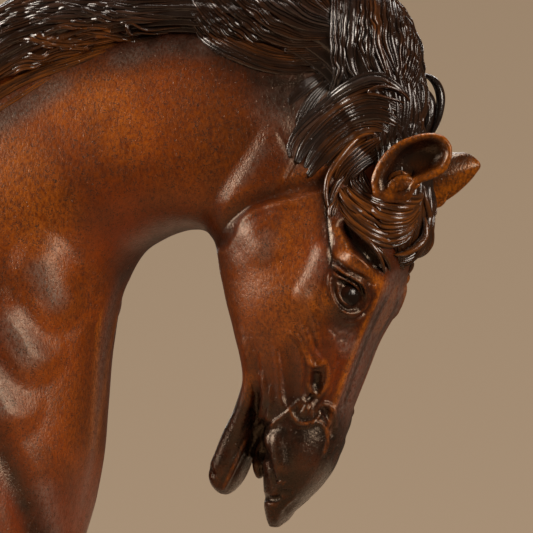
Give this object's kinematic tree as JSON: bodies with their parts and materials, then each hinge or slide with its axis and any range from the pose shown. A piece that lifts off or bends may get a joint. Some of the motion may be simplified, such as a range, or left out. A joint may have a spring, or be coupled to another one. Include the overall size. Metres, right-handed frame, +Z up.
{
  "type": "horse head bust",
  "caption": "Bust of a rearing horse with its head tucked down: maned neck and head cast in one piece with a brown patina, standing on its flat cut.",
  "frame": {"origin": "on the flat underside, at the middle of the neck's foot", "axes": "+X the way the horse faces, +Y towards its left side, +Z up"},
  "size_m": [0.2514, 0.0954, 0.1901],
  "materials": {
    "brown_bronze": "brown patina, darker in the mane and at the muzzle, waxed to a gloss"
  },
  "bodies": {
    "root": {"horse_bust": "brown_bronze"}
  },
  "joints": []
}
